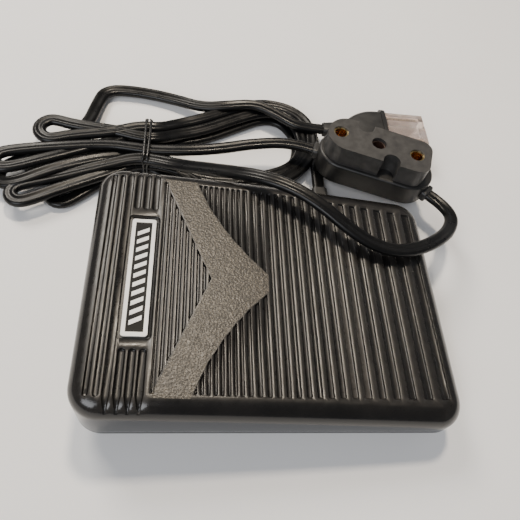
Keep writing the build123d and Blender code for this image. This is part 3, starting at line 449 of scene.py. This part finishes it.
def fan_loop(tip, half_width, height, first, last, bulge=1.3):
    """A loop end left of the tie, from the strand at (column, row) first to the one at last."""
    start, end = (Vector((PASS_LEFT, COLUMN_Y[c], ROW_Z[r])) for c, r in (first, last))
    tip = Vector((*tip, height))
    root = (start + end) / 2
    back = (root - tip).normalized()
    side = Vector((back.y, -back.x, 0)) * (1 if start.y > end.y else -1)
    points = []
    # along, across: shares of the way from the tip to the tie, and of the half width;
    # the first two are those that make the tip a half circle
    shoulder = 0.59 * half_width * bulge / (root - tip).length
    for strand, base in ((-1, start), (1, end)):
        run = []
        for along, across in (
                (0, 0.41 * bulge), (shoulder, bulge), (0.16, bulge), (0.32, 1.0), (0.6, 0.92)):
            on_axis = tip.lerp(root, along)
            outer = on_axis + side * (-strand) * half_width * across
            blend = smooth_step(0.25, 1.0, along)
            target = base.lerp(outer, 1 - blend)
            run.append((target.x, target.y, lerp(height, base.z, blend)))
        points.append(run)
    return points[0][::-1] + points[1]


PEDAL_EXIT = (25.0, 58.0, 5.0)
pedal_route = [
    PEDAL_EXIT, (25.0, 64.5, 5.0), (25.2, 71.0, 5.0), (26.4, 78.0, 3.4),
    *ring_turn(0.03, 2.3, clockwise=False, stop=8),
    *tie_pass(4, 1, leftward=True),
    *fan_loop((-94.0, 64.5), 3.0, 1.9, (4, 1), (3, 1)),
    *tie_pass(3, 1, leftward=False),
    *ring_turn(0.74, 2.2),
    *tie_pass(2, 1, leftward=True),
    *fan_loop((-81.5, 46.8), 3.0, 2.2, (2, 1), (1, 1)),
    *tie_pass(1, 1, leftward=False),
    *ring_turn(0.3, 2.2, clockwise=False),
    *tie_pass(4, 2, leftward=True),
    *fan_loop((-103.4, 58.4), 3.1, 8.4, (4, 2), (2, 3)),
    (TIE_X - 3.6, 70.4, 8.8), (-44.4, 69.8, 8.9), (-30.0, 69.8, 10.2), (-17.0, 71.8, 10.6),
    (-4.0, 74.8, 11.8), (12.26, 76.08, 13.2), (21.78, 73.02, 13.2),
]

mains_route = [
    (69.13, 52.27, 13.2), (73.97, 47.79, 13.2), (76.0, 39.8, 14.8), (71.4, 31.6, 17.2),
    (64.8, 25.2, 20.0), (56.6, 19.6, 22.4), (46.8, 15.8, 23.8), (36.4, 16.4, 25.6),
    (26.4, 21.2, 28.4), (17.2, 28.2, 31.2), (7.4, 34.6, 32.4), (-3.4, 39.4, 31.6),
    (-13.6, 45.2, 26.6), (-24.0, 53.4, 18.4), (-34.4, 60.6, 11.2), (-44.4, 64.6, 8.9),
    (PASS_LEFT, COLUMN_Y[1], ROW_Z[3]),
    *fan_loop((-95.0, 43.8), 3.0, 6.4, (1, 3), (1, 2)),
    *tie_pass(1, 2, leftward=False),
    *ring_turn(0.6, 5.1, clockwise=False),
    *tie_pass(3, 3, leftward=True),
    *fan_loop((-90.5, 78.0), 3.0, 7.8, (3, 3), (4, 3), bulge=1.75),
    *tie_pass(4, 3, leftward=False),
    *ring_turn(0.2, 5.2, stop=13),
    *tie_pass(2, 2, leftward=True),
    (-58.0, 67.4, 6.2), (-67.0, 64.2, 7.4), (-82.6, 57.0, 7.8), (-94.0, 49.8, 7.0),
    (-101.2, 50.0, 5.6), (-102.2, 58.0, 4.9), (-94.0, 64.6, 4.9), (-84.0, 72.0, 4.9),
    (-76.4, 80.0, 4.8), (-72.4, 88.0, 4.6), (-71.0, 98.5, 3.6), (-68.4, 110.0, 3.2), (-53.0, 110.4, 3.2),
    (-38.0, 107.2, 3.6), (-25.0, 101.4, 5.4), (-13.0, 101.6, 7.6), (-1.0, 103.4, 8.3),
    (8.0, 98.6, 8.2), (16.0, 93.0, 7.8), (23.5, 92.0, 7.2), (29.5, 92.0, 7.2),
]


def smooth_line(route, name):
    """The points of the smooth curve that a cord's route controls, in millimetres."""
    curve = bpy.data.curves.new(name + "_route", "CURVE")
    curve.dimensions = "3D"
    curve.resolution_u = 16
    spline = curve.splines.new("NURBS")
    spline.points.add(len(route) - 1)
    for point, place in zip(spline.points, route):
        point.co = (*place, 1)
    spline.order_u = 3
    spline.use_endpoint_u = True
    holder = bpy.data.objects.new(name + "_route", curve)
    mesh = bpy.data.meshes.new_from_object(holder)
    line = np.array([vertex.co for vertex in mesh.vertices])
    bpy.data.objects.remove(holder)
    bpy.data.meshes.remove(mesh)
    bpy.data.curves.remove(curve)
    return line


def evenly(line, step):
    """The line again with points about step apart."""
    along = np.concatenate([[0], np.cumsum(np.linalg.norm(np.diff(line, axis=0), axis=1))])
    at = np.linspace(0, along[-1], int(along[-1] / step) + 1)
    return np.stack([np.interp(at, along, line[:, k]) for k in range(3)], axis=1), at


def twin_section():
    """Outline of a flat two-core cord: two round lobes with a groove between them."""
    steps = 10
    sweep = math.radians(128)
    section = []
    for side in (1, -1):
        for n in range(steps + 1):
            angle = lerp(-sweep, sweep, n / steps)
            section.append((side * (LOBE + CORD_THICK / 2 * math.cos(angle)),
                            side * CORD_THICK / 2 * math.sin(angle)))
    return section


def twin_cord(name, route, twist):
    """A flat two-core cord along its route; twist turns its broad side, by length."""
    line, along = evenly(smooth_line(route, name), CORD_STEP)
    tangents = np.gradient(line, axis=0)
    tangents /= np.linalg.norm(tangents, axis=1)[:, None]
    section = twin_section()
    points = []
    for place, tangent, s in zip(line, tangents, along):
        tangent = Vector(tangent)
        across = tangent.cross(Vector((0, 0, 1))).normalized()
        across = Matrix.Rotation(twist(s), 3, tangent) @ across
        above = across.cross(tangent)
        for u, v in section:
            points.append(Vector(place) + across * u + above * v)
    count, rings = len(section), len(line)
    faces = []
    for ring in range(rings - 1):
        for n in range(count):
            m = (n + 1) % count
            a, b = ring * count, (ring + 1) * count
            faces.append((a + n, a + m, b + m, b + n))
    faces.append(tuple(range(count))[::-1])
    faces.append(tuple((rings - 1) * count + n for n in range(count)))
    return new_mesh(name, points, faces, sharp=60), line, along[-1]


def slow_twist(scale, phase):
    """A cord's lazy roll to and fro along its length."""
    return lambda s: scale * (math.sin(s / 47 + phase) + 0.6 * math.sin(s / 21 + 2.3 * phase))


pedal_cord, pedal_line, pedal_length = twin_cord("pedal_cord", pedal_route, slow_twist(0.16, 0.4))
mains_cord, mains_line, mains_length = twin_cord("mains_cord", mains_route, slow_twist(0.17, 1.9))
print(f"CORDS pedal {pedal_length:.0f} mm, mains {mains_length:.0f} mm")
put(pedal_cord, MATERIALS["cord_pvc"], "base", "cord_pvc",
    "pedal_cord_tail", "pedal_cord_lead", "cord_hank")
put(mains_cord, MATERIALS["cord_pvc"], "base", "cord_pvc",
    "mains_cord_lead", "mains_cord_loop", "mains_cord_tail")


def make_springs():
    """The return springs again, as rigid meshes of their own on the base."""
    for node in ("return_spring_near", "return_spring_far"):
        source = frame["nodes"][node]
        spring = new_object(node.replace("return_spring", "coil"), source.data.copy())
        spring.matrix_world = source.matrix_world
        put(spring, MATERIALS["spring_steel"], "base", "spring_steel", node)
        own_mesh(spring)


# ---------------------------------------------------------------- tie
TIE_WIRE = 0.5
TIE_GAP = 0.85
TIE_CORNER = 3.4
TIE_SIDES = 8


def make_tie():
    """Two thin strands side by side round the bundle, where the part has one flat band."""
    corners = [Vector(corner) / MM for corner in frame["nodes"]["twist_tie"].bound_box]
    low = [min(corner[k] for corner in corners) + TIE_WIRE for k in range(3)]
    high = [max(corner[k] for corner in corners) - TIE_WIRE for k in range(3)]
    middle = [(a + b) / 2 for a, b in zip(low, high)]
    loop = []
    for sy, sz, start in QUARTERS:
        corner = [middle[1] + sy * (middle[1] - low[1] - TIE_CORNER),
                  middle[2] + sz * (middle[2] - low[2] - TIE_CORNER)]
        for n in range(TIE_SIDES + 1):
            angle = math.pi / 2 * (start + n / TIE_SIDES)
            loop.append((corner[0] + TIE_CORNER * math.cos(angle),
                         corner[1] + TIE_CORNER * math.sin(angle)))
    points, faces = [], []
    for way in (-1, 1):
        first = len(points)
        for n, (y, z) in enumerate(loop):
            wander = way * TIE_GAP + 0.25 * math.sin(0.9 * n + way)
            outward = Vector((0, y - middle[1], z - middle[2])).normalized()
            for m in range(TIE_SIDES):
                angle = 2 * math.pi * m / TIE_SIDES
                ring = outward * math.cos(angle) + Vector((1, 0, 0)) * math.sin(angle)
                points.append(Vector((middle[0] + wander, y, z)) + ring * TIE_WIRE)
        for n in range(len(loop)):
            a, b = first + n * TIE_SIDES, first + (n + 1) % len(loop) * TIE_SIDES
            for m in range(TIE_SIDES):
                k = (m + 1) % TIE_SIDES
                faces.append((a + m, a + k, b + k, b + m))
    put(new_mesh("tie_strands", points, faces, sharp=60), MATERIALS["tie_plastic"], "base",
        "tie_plastic", "twist_tie")


# ---------------------------------------------------------------- tread
# The same sizes as in the CAD source, which makes the same grooves with sharp edges.
LENGTH = 120.0
WIDTH = 87.0
TOE_HEIGHT = 29.0
MID_HEIGHT = 25.0
HEEL_HEIGHT = 18.5
SKIRT_BOTTOM = 9.0
PLAN_RADIUS = 9.0
SHOULDER_RADIUS = 5.5
GROOVE_DEPTH = 0.6
GROOVE_HALF = 37.4
TOE_GROOVE_HALF = 38.6
EDGE_LEVELS = (-0.14, -0.04, 0.06, 0.2, 0.34)
CHEVRON_HALF = 38.6
INNER_TIP = (-20.8, 0.0)
INNER_CORNER = (-37.6, CHEVRON_HALF)
CHEVRON_OUTER = (
    (-2.6, 3.0), (-9.3, 9.8), (-13.7, 15.0), (-17.4, 20.2), (-21.9, 27.5), (-25.7, 36.2),
    (-26.5, CHEVRON_HALF),
)
CHEVRON_GAP = 0.4
LABEL_X = -43.3
LABEL_WIDTH = 7.6
LABEL_LENGTH = 41.5
LABEL_RECESS = 1.2
RUN_OUT = 42.6
BAND_STOP = 22.6
RUN_OUT_DROP = 3.6
LIP_ROUND = 0.35
GRAIN_START = -38.0
GRAIN_LENGTH = 36
GRAIN_STEP = 0.52
GRAIN_HEIGHT = 0.045


def top_height(x):
    """Height of the crowned surface between its toe, middle and heel heights."""
    s = x / (LENGTH / 2)
    slope = (HEEL_HEIGHT - TOE_HEIGHT) / 2
    bend = (HEEL_HEIGHT + TOE_HEIGHT) / 2 - MID_HEIGHT
    return MID_HEIGHT + slope * s + bend * s * s


LABEL_FLOOR = top_height(LABEL_X) - 0.9

# A flat convex shape is an array of sides (nx, ny, c). A point is inside where
# nx*x + ny*y <= c for every side, and the least c - nx*x - ny*y is how deep inside it is.


def round_box(x, y, half_x, half_y, corner, steps=6):
    """The sides of a rectangle with rounded corners."""
    sides = []
    for sx, sy, start in QUARTERS:
        cx, cy = x + sx * (half_x - corner), y + sy * (half_y - corner)
        for n in range(steps + 1):
            angle = math.pi / 2 * (start + n / steps)
            nx, ny = math.cos(angle), math.sin(angle)
            sides.append((nx, ny, nx * cx + ny * cy + corner))
    return np.array(sides)


def side_past(first, second, inside, gap):
    """A side along the line from first to second, gap short of it, that keeps the point inside."""
    nx, ny = second[1] - first[1], first[0] - second[0]
    size = math.hypot(nx, ny)
    nx, ny = nx / size, ny / size
    c = nx * first[0] + ny * first[1]
    if nx * inside[0] + ny * inside[1] > c:
        nx, ny, c = -nx, -ny, -c
    return (nx, ny, c - gap)


def depth_inside(sides, x, y):
    """How deep inside a shape each point is; negative outside."""
    return np.min(sides[:, 2, None] - sides[:, 0, None] * x - sides[:, 1, None] * y, axis=0)


def outline(sides, inset):
    """The corners of a shape made smaller by inset, in order, or none where nothing is left."""
    ring = [(-90.0, -90.0), (90.0, -90.0), (90.0, 90.0), (-90.0, 90.0)]
    for nx, ny, c in sides:
        kept = []
        for n, here in enumerate(ring):
            ahead = ring[(n + 1) % len(ring)]
            a, b = (c - inset - nx * p[0] - ny * p[1] for p in (here, ahead))
            if a >= 0:
                kept.append(here)
            if (a >= 0) != (b >= 0):
                kept.append(tuple(lerp(here[k], ahead[k], a / (a - b)) for k in (0, 1)))
        ring = kept
        if not ring:
            return []
    tidy = [p for n, p in enumerate(ring) if math.dist(p, ring[n - 1]) > 0.01]
    return tidy if len(tidy) > 2 else []


def groove_list():
    """Centre, width, half length and corner of the grooves that end short of the edge."""
    grooves = [(x, 1.5, TOE_GROOVE_HALF, 0.74) for x in (-54.4, -51.7)]
    grooves += [(-36.9 + n * 1.93, 1.0, GROOVE_HALF, 0.35) for n in range(14)]
    toe_wall = -10.1
    for n in range(17):
        pitch = 2.75 + 0.0141 * n * n
        width = 0.48 * pitch
        grooves.append((toe_wall + width / 2, width, GROOVE_HALF - 0.03 * max(toe_wall, 0), 0.35))
        toe_wall += pitch
    return grooves


def tread_cuts():
    """Every groove as a flat convex shape, cut short where it meets the chevron."""
    cuts = []
    for x, width, half, corner in groove_list():
        whole = round_box(x, 0, width / 2, half, corner)
        if x < INNER_CORNER[0] + width or x - width / 2 > CHEVRON_OUTER[0][0] + CHEVRON_GAP:
            cuts.append(whole)
            continue
        toe_side = [side_past(INNER_TIP, (INNER_CORNER[0], s * CHEVRON_HALF), (-60, 0), CHEVRON_GAP)
                    for s in (1, -1)]
        cuts.append(np.vstack([whole, toe_side]))
        for s in (1, -1):
            heel_side = [side_past((ax, s * ay), (bx, s * by), (60, 0), CHEVRON_GAP)
                         for (ax, ay), (bx, by) in zip(CHEVRON_OUTER, CHEVRON_OUTER[1:])]
            beyond = [(0.0, -s, -CHEVRON_OUTER[0][1])]
            cuts.append(np.vstack([whole, heel_side, beyond]))
    return [cut for cut in cuts if outline(cut, 0.1)]


def band_cuts():
    """The four wide grooves that run out through both shoulders and stop short of the label."""
    cuts = []
    for n in range(4):
        x, half = -49.1 + n * 2.95, 1.05
        for sy in (1, -1):
            sides = [(1, 0, x + half), (-1, 0, half - x), (0, sy, RUN_OUT)]
            for sx in (1, -1):
                sides.append(side_past((x + sx * half, sy * 38.4), (x + sx * 0.35, sy * RUN_OUT),
                                       (x, 0), 0))
            if n == 0:
                sides.append((0, -sy, 1.0))
            else:
                ends = round_box(x, 0, half, BAND_STOP + 2 * half, half - 0.05)
                sides += [(nx, -sy * abs(ny), c - 2 * abs(ny) * (BAND_STOP + 2 * half))
                          for nx, ny, c in ends if abs(ny) > 0.01]
            cuts.append(np.array(sides))
    return cuts


def inside_chevron(x, y):
    """How far inside the chevron each point is, along X; negative outside."""
    along = np.abs(y)
    inner = INNER_TIP[0] + (INNER_CORNER[0] - INNER_TIP[0]) * along / CHEVRON_HALF
    outer = np.interp(along, [p[1] for p in CHEVRON_OUTER], [p[0] for p in CHEVRON_OUTER])
    return np.minimum(np.minimum(x - inner, outer - x), CHEVRON_HALF - along)


def edge_distance(x, y):
    """How far a point is inside the tread's rounded outline, seen from above."""
    a = np.abs(x) - (LENGTH / 2 - PLAN_RADIUS)
    b = np.abs(y) - (WIDTH / 2 - PLAN_RADIUS)
    corner = PLAN_RADIUS - np.hypot(np.maximum(a, 0), np.maximum(b, 0))
    return np.where((a > 0) & (b > 0), corner, PLAN_RADIUS - np.maximum(a, b))


def shoulder_drop(distance):
    """How far the rounded shoulder lies below the crowned surface at a distance from the edge."""
    left = SHOULDER_RADIUS - np.clip(distance, 0, SHOULDER_RADIUS)
    return SHOULDER_RADIUS - np.sqrt(np.maximum(SHOULDER_RADIUS ** 2 - left ** 2, 0))


def edge_profile(depth):
    """Share of a groove's depth at a distance inside its edge: rounded at the top and the foot."""
    t = np.clip((depth - EDGE_LEVELS[0]) / (EDGE_LEVELS[-1] - EDGE_LEVELS[0]), 0, 1)
    return t * t * (3 - 2 * t)


def tread_height(x, y, cuts, bands, pocket):
    """Height of the tread's finished surface."""
    drop = shoulder_drop(edge_distance(x, y))
    surface = top_height(x) - drop
    share = np.zeros_like(x)
    for cut in cuts:
        share = np.maximum(share, edge_profile(depth_inside(cut, x, y)))
    fade = np.clip(1 - drop / RUN_OUT_DROP, 0, 1) ** 0.7
    for band in bands:
        share = np.maximum(share, edge_profile(depth_inside(band, x, y)) * fade)
    surface = surface - GROOVE_DEPTH * share
    into = edge_profile(depth_inside(pocket, x, y))
    surface = np.where(into > 0, np.minimum(surface, lerp(surface, LABEL_FLOOR, into)), surface)
    rough = np.array([noise.noise((px * 1.1, py * 1.1, 7.0)) for px, py in zip(x, y)])
    return surface + GRAIN_HEIGHT * rough * np.clip(inside_chevron(x, y) / 0.8, 0, 1)


def tread_rim(distance):
    """Points round the tread's outline, distance inside it, in order."""
    corner = PLAN_RADIUS - distance
    ring = []
    for sx, sy, start in QUARTERS:
        cx, cy = sx * (LENGTH / 2 - PLAN_RADIUS), sy * (WIDTH / 2 - PLAN_RADIUS)
        for n in range(15):
            angle = math.pi / 2 * (start + n / 14)
            ring.append((cx + corner * math.cos(angle), cy + corner * math.sin(angle)))
        # the long straight sides get points between, to follow the crown
        if start in (0, 2):
            ring += [(sx * lerp(51, -51, n / 30), sy * (WIDTH / 2 - distance)) for n in range(1, 30)]
    return ring


def tread_skin():
    """Points and faces of the tread's outside, which faces are grained, and the rim's points."""
    cuts, bands = tread_cuts(), band_cuts()
    pocket = round_box(LABEL_X, 0, LABEL_WIDTH / 2 + LABEL_RECESS, LABEL_LENGTH / 2 + LABEL_RECESS, 1.5)
    flat, edges = [], []

    def add_ring(ring):
        first = len(flat)
        flat.extend(ring)
        edges.extend((first + n, first + (n + 1) % len(ring)) for n in range(len(ring)))

    distances = [SHOULDER_RADIUS * (1 - math.cos(math.radians(a))) for a in range(0, 91, 9)]
    for distance in distances:
        add_ring(tread_rim(distance))
    rim_count = len(tread_rim(0))
    for shape in [*cuts, *bands, pocket]:
        for level in EDGE_LEVELS:
            add_ring(outline(shape, level))
    inner = [(INNER_CORNER[0], CHEVRON_HALF), INNER_TIP, (INNER_CORNER[0], -CHEVRON_HALF)]
    add_ring([*inner, *((x, -y) for x, y in reversed(CHEVRON_OUTER)), *CHEVRON_OUTER])
    # loose points: close together on the grained chevron, and wide apart on the rest
    for row in range(int(2 * CHEVRON_HALF / GRAIN_STEP)):
        for column in range(int(GRAIN_LENGTH / GRAIN_STEP)):
            x = GRAIN_START + GRAIN_STEP * (column + 0.5 * (row % 2))
            y = -CHEVRON_HALF + GRAIN_STEP * (row + 0.5)
            if inside_chevron(x, y) > 0.3:
                flat.append((x + 0.2 * noise.noise((x, y, 0)), y + 0.2 * noise.noise((x, y, 9))))
    for x in np.arange(-52, 53, 3.0):
        for y in (-41.0, -39.4, 39.4, 41.0):
            flat.append((x, y))
    result = delaunay_2d_cdt([Vector(p) for p in flat], edges, [], 0, 1e-5, True)
    x, y = (np.array([p[k] for p in result[0]]) for k in (0, 1))
    z = tread_height(x, y, cuts, bands, pocket)
    place_of = {i: n for n, olds in enumerate(result[3]) for i in olds}
    rim = [place_of[n] for n in range(rim_count)]
    faces = [tuple(face) for face in result[2]]
    middle = np.array([[(x[list(f)]).mean(), (y[list(f)]).mean()] for f in faces])
    grained = inside_chevron(middle[:, 0], middle[:, 1]) > 0
    return list(zip(x, y, z)), faces, grained, rim


def tread_inside():
    """The CAD tread's inner faces: the cavity and all that hangs in it, and the lip's flat ring."""
    source = frame["nodes"]["tread_cover"].data
    points = np.array([vertex.co for vertex in source.vertices]) / MM
    x, y, z = points.T
    distance = edge_distance(x, y)
    outer_top = z > top_height(x) - shoulder_drop(distance) - 1.2
    outer = outer_top | (distance < 0.05)
    lip = (z < SKIRT_BOTTOM + 0.01) & (distance < 0.05)
    middle = np.array([LENGTH / 2 - PLAN_RADIUS, WIDTH / 2 - PLAN_RADIUS])
    for n in np.nonzero(lip)[0]:
        core = np.clip(points[n, :2], -middle, middle)
        away = points[n, :2] - core
        points[n, :2] = core + away * (1 - LIP_ROUND / PLAN_RADIUS)
    keep = []
    for face in source.polygons:
        corners = list(face.vertices)
        on_lip = all(z[c] < SKIRT_BOTTOM + 0.01 for c in corners)
        if on_lip or not all(outer[c] for c in corners):
            keep.append(tuple(corners))
    used = sorted({c for face in keep for c in face})
    new = {old: n for n, old in enumerate(used)}
    return [tuple(points[n]) for n in used], [tuple(new[c] for c in face) for face in keep]


def make_tread():
    points, faces, grained, rim = tread_skin()
    # the skirt's wall goes down from the rim, swells into a small bead, and turns under
    low = SKIRT_BOTTOM
    levels = [(low + 3.4, 0.0), (low + 1.9, 0.0), (low + 1.6, 0.12), (low + 1.3, 0.12),
              (low + LIP_ROUND, 0.0), (low + 0.1, 0.1), (low, LIP_ROUND)]
    rings = [rim]
    for height, inset in levels:
        ring = []
        for (x, y) in tread_rim(inset):
            ring.append(len(points))
            points.append((x, y, height))
        rings.append(ring)
    count = len(rim)
    for above, below in zip(rings, rings[1:]):
        for n in range(count):
            m = (n + 1) % count
            faces.append((above[n], below[n], below[m], above[m]))
    extra_points, extra_faces = tread_inside()
    start = len(points)
    points += extra_points
    faces += [tuple(start + c for c in face) for face in extra_faces]
    tread = new_mesh("tread", points, faces, sharp=48)
    put(tread, MATERIALS["tread_plastic"], "tread", "tread_plastic", "tread_cover")
    tread.data.materials.append(CHEVRON)
    for face, grain in zip(tread.data.polygons, grained):
        face.material_index = int(grain)
    print("TREAD", len(tread.data.polygons), "faces")


make_tread()


def make_label_bars():
    """A generic row of slanted bars on the label's black panel, in place of any word."""
    points, faces = [], []
    count, pitch, slant = 11, 3.15, 0.9
    z = LABEL_FLOOR + 0.6
    for n in range(count):
        middle = (n - (count - 1) / 2) * pitch
        first = len(points)
        corners = ((-1.75, -0.75 - slant), (1.75, -0.75 + slant), (1.75, 0.75 + slant),
                   (-1.75, 0.75 - slant))
        for lift, grow in ((-0.02, 0.0), (0.05, 0.0), (0.08, -0.05)):
            for cx, cy in corners:
                points.append((LABEL_X + cx + math.copysign(grow, cx), middle + cy, z + lift))
        for level in (0, 4):
            for k in range(4):
                a, b = first + level + k, first + level + (k + 1) % 4
                faces.append((a, b, b + 4, a + 4))
        faces.append(tuple(first + 8 + k for k in range(4)))
    bars = new_mesh("label_bars", points, faces, sharp=40)
    put(bars, MATERIALS["label_white"], "tread", "label_white")


make_label_bars()
make_tie()
make_springs()

# ---------------------------------------------------------------- floor and lights


def area_light(name, direction, distance, size, power, color):
    """A square soft light that looks at the pedal's middle from a direction."""
    data = bpy.data.lights.new(name, "AREA")
    data.size = size
    data.energy = power
    data.color = color
    lamp = new_object(name, data)
    target = Vector((-10, 30, 10)) * MM
    lamp.location = target + Vector(direction).normalized() * distance
    lamp.rotation_euler = (target - lamp.location).to_track_quat("-Z", "Y").to_euler()


FLOOR_HALF = 4000.0
floor = new_mesh("floor", [
    (-FLOOR_HALF, -FLOOR_HALF, 0), (FLOOR_HALF, -FLOOR_HALF, 0),
    (FLOOR_HALF, FLOOR_HALF, 0), (-FLOOR_HALF, FLOOR_HALF, 0),
], [(0, 1, 2, 3)])
floor.data.materials.append(
    moulded("floor paper", (0.93, 0.925, 0.92), (0.95, 0.945, 0.94), (0.8, 0.9), mottle=60).material
)

area_light("window", (-0.42, 0.55, 0.74), distance=0.9, size=0.3, power=5.0, color=(1.0, 0.93, 0.83))
area_light("lamp", (0.02, 0.36, 0.93), distance=0.9, size=0.1, power=5.5, color=(1.0, 0.87, 0.7))
area_light("key", (0.8, 0.5, 0.6), distance=1.1, size=0.1, power=0.12, color=(1.0, 0.95, 0.88))
area_light("fill", (-0.5, -0.7, 0.75), distance=1.6, size=0.9, power=15.0, color=(0.94, 0.96, 1.0))

world = bpy.data.worlds.new("studio")
bpy.context.scene.world = world
world.use_nodes = True
world.node_tree.nodes["Background"].inputs["Color"].default_value = (0.93, 0.95, 1.0, 1)
world.node_tree.nodes["Background"].inputs["Strength"].default_value = 0.2
